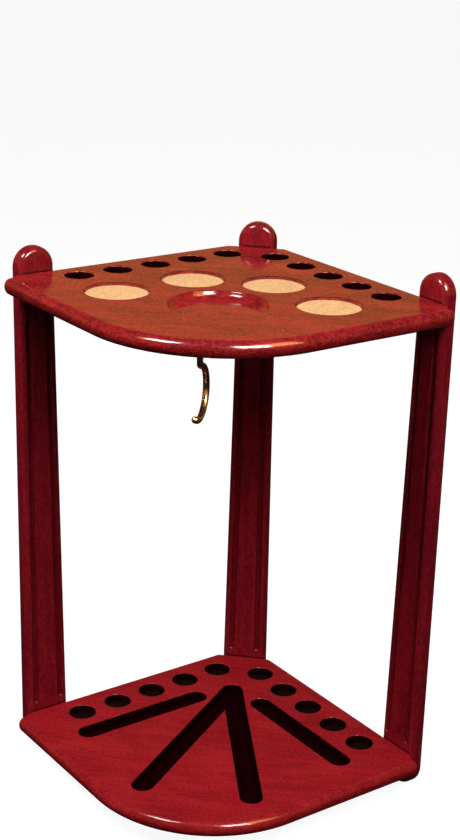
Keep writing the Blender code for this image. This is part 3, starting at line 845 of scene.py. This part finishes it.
def hook_rings():
    """Rings along the hook: shank, flange, neck, bow and ball tip."""
    top, low = -GAP, -GAP - HOOK_FLANGE_DEPTH
    brim, wire = HOOK_FLANGE, HOOK_WIRE
    shank = [(HOOK_SCREWED_IN, 0.0006), (HOOK_SCREWED_IN - 0.003, HOOK_SHANK), (top, HOOK_SHANK)]
    flange = [(top, brim - 0.0005), (top - 0.00015, brim - 0.00015), (top - 0.0005, brim),
              (low + 0.0008, brim), (low + 0.0003, brim - 0.0003), (low, brim - 0.001)]
    fillet = [(low - 0.0002, wire + 0.0008), (low - 0.0008, wire + 0.0002), (low - 0.0018, wire)]
    steps = shank + flange + fillet
    path = [Vector((0.0, height)) for height, _ in steps]
    radii = [radius for _, radius in steps]
    headings = [-HALF_PI] * len(steps)
    line = [Vector((0.0, -HOOK_NECK))]
    heading = bend(line, -HALF_PI, HOOK_NECK_BEND, HOOK_NECK_TURN, 18)
    bend(line, heading, HOOK_BOW, -HOOK_BOW_TURN, 96)
    for i, point in enumerate(line):
        behind, ahead = line[max(i - 1, 0)], line[min(i + 1, len(line) - 1)]
        path.append(point)
        headings.append(math.atan2(ahead.y - behind.y, ahead.x - behind.x))
        radii.append(HOOK_WIRE + HOOK_SWELL * math.sin(math.pi * i / (len(line) - 1)))
    neck = math.asin(radii[-1] / HOOK_BALL)
    along = Vector((math.cos(headings[-1]), math.sin(headings[-1])))
    ball = line[-1] + along * HOOK_BALL * math.cos(neck)
    for i in range(1, HOOK_BALL_STEPS + 1):
        turn = neck + (HOOK_BALL_END - neck) * i / HOOK_BALL_STEPS
        path.append(ball - along * HOOK_BALL * math.cos(turn))
        radii.append(HOOK_BALL * math.sin(turn))
        headings.append(headings[-1])
    return [ring_across(*each) for each in zip(path, headings, radii)]


def ring_across(center, heading, radius, segments=32):
    """A circle square to the heading, in the hook's own frame."""
    across = Vector((-math.sin(heading), 0.0, math.cos(heading)))
    middle = Vector((center.x, 0.0, center.y))
    turns = [math.tau * i / segments for i in range(segments)]
    return [middle + (across * math.cos(t) + Vector((0, 1, 0)) * math.sin(t)) * radius for t in turns]


def hook_place():
    """Where the shank meets the upper shelf's underside, turned as it hangs in the photograph."""
    under = at(HOOK_PLACE, HOOK_PLACE, UPPER_UNDER)
    return Matrix.Translation(under) @ Matrix.Rotation(HOOK_TURN, 4, 'Z')


def hook_bore():
    reach, deep = HOOK_SHANK + FIT, HOOK_SCREWED_IN + BORE_CLEAR
    profile = [(0.0, -BORE_CLEAR), (reach, -BORE_CLEAR), (reach, deep), (0.0, deep)]
    return add("cutter", turned("cutter", profile, 24), [SHADED_BORE], hook_place())


def make_hook():
    hook = add("hook_brass", loft("hook", hook_rings()), [BRASS], hook_place())
    settle(hook, "hook", "brass", "cup_hook")


# ---------------------------------------------------------------- cork and felt

def disc(name, place, radius, thickness, height, finish, segments):
    """A disc with a softly rounded top edge, lying at this height."""
    soft = thickness * DISC_SOFT
    edge = [(radius - soft * (1 - math.cos(t)), thickness - soft * (1 - math.sin(t)))
            for t in quarter(5)]
    profile = [(0.0, 0.0), (radius, 0.0)] + edge + [(0.0, thickness)]
    mesh = turned(name, profile, segments)
    mesh.transform(Matrix.Translation(place + Vector((0, 0, height))))
    return add(name, mesh, [finish])


def crumble(mesh, center, radius, depth):
    """Nibble the rim of a cork disc, so that its edge is as ragged as cut cork."""
    for vertex in mesh.vertices:
        arm = Vector((vertex.co.x - center.x, vertex.co.y - center.y, 0.0))
        if arm.length > radius - CORK_RIM_BAND:
            coarse = vertex.co * CORK_NIBBLE
            bite = noise.noise(coarse) + 0.5 * noise.noise(coarse * CORK_FINE_NIBBLE)
            vertex.co -= arm.normalized() * depth * min(max(0.5 + bite, 0.0), 1.0)


def lay_discs():
    for i, place in enumerate(rest_places(), 1):
        low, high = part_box(f"cork_rest_{i}")
        cork = disc(f"cork_{i}", place, REST_RADIUS - GAP, high.z - low.z, low.z, CORK, 180)
        crumble(cork.data, place, REST_RADIUS - GAP, CORK_BITE)
        settle(cork, "rack", "cork", f"cork_rest_{i}")
    for i, place in enumerate(cue_places(), 1):
        low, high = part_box(f"socket_felt_{i}")
        # Near-black felt in each socket, also painting the shade deep in it.
        felt = disc(f"felt_{i}", place, CUE_RADIUS - 2 * GAP, high.z - low.z, low.z, FELT_AND_SHADE, 60)
        settle(felt, "rack", "black_felt", f"socket_felt_{i}")


# ---------------------------------------------------------------- studio

TARGET = Vector((0.0, 0.0, 0.35))
LAMP_DISTANCE = 2.2
WARM, NEUTRAL, AMBER = (1.0, 0.95, 0.88), (1.0, 1.0, 1.0), (1.0, 0.40, 0.12)
LAMPS = (                   # name, azimuth, elevation, size, brightness, colour, mirrored
    ("glint_left", 1, 54, (0.65, 0.6), 36, WARM, True),
    ("glint_right", 79, 44, (0.75, 0.8), 38, WARM, True),
    ("glint_amber", 106, 50, (0.8, 1.2), 14, AMBER, True),
    ("key_left", 1, 54, (0.8, 0.8), 16, WARM, False),
    ("key_right", 79, 44, (0.6, 0.9), 16, WARM, False),
    ("overhead", 45, 80, (2.0, 2.0), 1.0, NEUTRAL, False),
    ("back_fill", 225, 30, (2.0, 1.5), 0.6, NEUTRAL, False),
)
BACKDROP = (1.0, 1.0, 1.0)
ROOM_LIGHT = (0.030, 0.028, 0.026)
WALL_GLOW = (0.42, 0.20, 0.052)
FLOOR_SIZE = 12.0
FLOOR_GLOW = 0.93
FLOOR_MOTTLE = ((0.3, (0.26, 0.26, 0.26)), (0.7, (0.30, 0.30, 0.30)))
CAMERA_PLACE = (1.5513, -1.1046, 1.1917)
CAMERA_BACK = (54.03, 20.47)        # azimuth and elevation of the direction away from what it sees
CAMERA_ROLL = math.radians(1.62)
CAMERA_LENS = 69.15
CAMERA_SHIFT = (-0.0086, 0.0239)
WALL_BANDS = ((0.0, (0.01, 0.008, 0.008)), (0.49, (0.015, 0.01, 0.01)), (0.53, WALL_GLOW),
              (0.69, WALL_GLOW), (0.74, (0.03, 0.02, 0.015)), (1.0, (0.05, 0.045, 0.04)))


def toward(azimuth, elevation):
    """Unit vector from the rack to a point at this azimuth and elevation, in degrees."""
    a, e = math.radians(azimuth), math.radians(elevation)
    return Vector((math.sin(a) * math.cos(e), -math.cos(a) * math.cos(e), math.sin(e)))


def lamp(name, azimuth, elevation, size, brightness, color, mirrored):
    """A soft box aimed at the rack. One that is mirrored shows only in gloss, any other only lights."""
    data = bpy.data.lights.new(name, 'AREA')
    data.shape = 'RECTANGLE'
    data.size, data.size_y = size
    data.energy = brightness * math.pi * size[0] * size[1]
    data.color = color
    box = bpy.data.objects.new(name, data)
    direction = toward(azimuth, elevation)
    box.location = TARGET + direction * LAMP_DISTANCE
    box.rotation_euler = direction.to_track_quat('Z', 'Y').to_euler()
    box.visible_glossy = mirrored
    box.visible_diffuse = not mirrored
    box.visible_camera = False
    bpy.context.scene.collection.objects.link(box)


def make_world():
    """White to the eye, nearly dark as a light, and with a low warm band for gloss to mirror."""
    world = bpy.data.worlds.new("studio")
    bpy.context.scene.world = world
    world.use_nodes = True
    nodes, links = world.node_tree.nodes, world.node_tree.links
    place = nodes.new("ShaderNodeTexCoord")
    parts = nodes.new("ShaderNodeSeparateXYZ")
    height = nodes.new("ShaderNodeMapRange")
    height.inputs["From Min"].default_value = -1.0
    ramp = nodes.new("ShaderNodeValToRGB")
    fill_ramp(ramp, WALL_BANDS)
    rays = nodes.new("ShaderNodeLightPath")
    gloss, eye = nodes.new("ShaderNodeMix"), nodes.new("ShaderNodeMix")
    for mix in (gloss, eye):
        mix.data_type = 'RGBA'
    gloss.inputs[MIX_FIRST].default_value = (*ROOM_LIGHT, 1.0)
    eye.inputs[MIX_SECOND].default_value = (*BACKDROP, 1.0)
    links.new(place.outputs["Generated"], parts.inputs[0])
    links.new(parts.outputs["Z"], height.inputs["Value"])
    links.new(height.outputs["Result"], ramp.inputs["Fac"])
    links.new(rays.outputs["Is Glossy Ray"], gloss.inputs[MIX_SHARE])
    links.new(ramp.outputs["Color"], gloss.inputs[MIX_SECOND])
    links.new(rays.outputs["Is Camera Ray"], eye.inputs[MIX_SHARE])
    links.new(gloss.outputs[MIX_RESULT], eye.inputs[MIX_FIRST])
    links.new(eye.outputs[MIX_RESULT], nodes["Background"].inputs["Color"])


def make_floor():
    """A white paper floor that glows, so that it reads as the photograph's bare background."""
    form = bmesh.new()
    bmesh.ops.create_grid(form, x_segments=1, y_segments=1, size=FLOOR_SIZE)
    mesh = bpy.data.meshes.new("floor")
    form.to_mesh(mesh)
    form.free()
    paper = Finish("floor_paper", Specular_IOR_Level=0.0, Emission_Color=(*BACKDROP, 1.0),
                   Emission_Strength=FLOOR_GLOW)
    mottle = paper.noise(paper.stretched([0.8] * 3), detail=2.0)
    color = paper.ramp(mottle, *FLOOR_MOTTLE)
    paper.finish(Base_Color=color, Roughness=paper.range(mottle, 0.0, 1.0, 0.9, 1.0))
    floor = add("floor", mesh, [paper.material])
    floor.visible_glossy = False
    floor.visible_diffuse = False


def make_camera():
    """The photograph's camera, fitted to the outlines of the balls that stand on the rack."""
    data = bpy.data.cameras.new("camera")
    data.sensor_fit = 'AUTO'
    data.sensor_width = 36.0
    data.lens = CAMERA_LENS
    data.shift_x, data.shift_y = CAMERA_SHIFT
    camera = bpy.data.objects.new("camera", data)
    back = toward(*CAMERA_BACK)
    right = Vector((-back.y, back.x, 0.0)).normalized()
    level = Matrix((right, back.cross(right), back)).transposed().to_4x4()
    roll = Matrix.Rotation(CAMERA_ROLL, 4, 'Z')
    camera.matrix_world = Matrix.Translation(CAMERA_PLACE) @ level @ roll
    bpy.context.scene.collection.objects.link(camera)
    bpy.context.scene.camera = camera


rack_posts = make_posts()
make_shelves(rack_posts)
drive_screws(rack_posts)
make_front_foot()
make_hook()
lay_discs()
for settings in LAMPS:
    lamp(*settings)
make_world()
make_floor()
make_camera()
bpy.context.scene.view_settings.view_transform = 'Standard'
